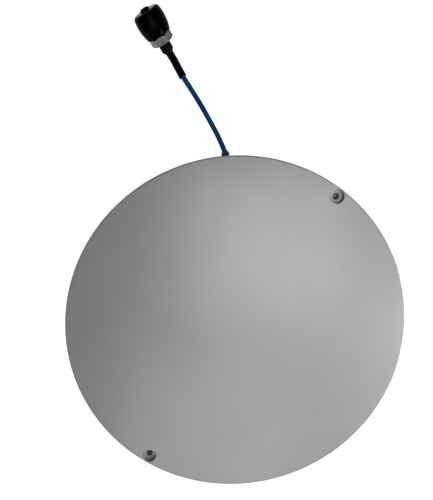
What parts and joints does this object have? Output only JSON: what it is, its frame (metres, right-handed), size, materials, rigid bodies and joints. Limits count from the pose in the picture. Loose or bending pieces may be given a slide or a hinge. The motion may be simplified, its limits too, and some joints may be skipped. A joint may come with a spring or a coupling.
{
  "type": "flat disc antenna",
  "caption": "Thin round flat antenna with two recessed mounting holes, a short coax pigtail from the rim, a threaded jack and a push-on dust cap.",
  "frame": {"origin": "centre of the back face, on the surface the antenna lies on", "axes": "+Z out of the front face, +Y towards the edge that the cable leaves, +X to the right seen from the front"},
  "size_m": [0.28, 0.3822, 0.0264],
  "materials": {
    "radome": "fine satin moulded plastic, light grey",
    "cover": "matte moulded plastic, light grey",
    "seal": "matte elastomer",
    "laminate": "glass-fibre laminate",
    "sheet": "rolled sheet",
    "jacket": "extruded blue cable jacket",
    "shrink": "black heat-shrink tube",
    "plated": "turned brass with a white bronze plating",
    "ptfe": "waxy white fluoropolymer",
    "gold": "gold plated",
    "solder": "solder bead",
    "nylon": "natural nylon",
    "screw_steel": "stainless steel",
    "label": "blank silver-grey film",
    "cap_rubber": "smooth black moulded rubber"
  },
  "bodies": {
    "antenna": {"back_cover": "cover", "board_spacer_1": "seal", "board_spacer_2": "seal", "board_spacer_3": "seal", "board_spacer_4": "seal", "braid_saddle": "sheet", "cable_clip_1": "nylon", "cable_clip_2": "nylon", "cable_gland": "seal", "carrier_board": "laminate", "connector_body": "plated", "connector_contact": "gold", "connector_ferrule": "plated", "connector_insulator": "ptfe", "cover_screw_1": "screw_steel", "cover_screw_2": "screw_steel", "cover_screw_3": "screw_steel", "cover_screw_4": "screw_steel", "cover_screw_5": "screw_steel", "cover_screw_6": "screw_steel", "cover_screw_7": "screw_steel", "cover_screw_8": "screw_steel", "feed_cable": "jacket", "feed_conductor": "gold", "feed_dielectric": "ptfe", "feed_solder": "solder", "front_cover": "radome", "ground_plate": "sheet", "pigtail_cable": "jacket", "radiator_plate": "sheet", "rear_label": "label", "rim_gasket": "seal", "shrink_sleeve": "shrink"},
    "dust_cap": {"dust_cap": "cap_rubber"}
  },
  "joints": [
    {"name": "cap_pull", "type": "slide", "parent": "antenna", "child": "dust_cap", "axis": [-0.5111, 0.7299, 0.454], "range_m": [0, 0.03]}
  ]
}
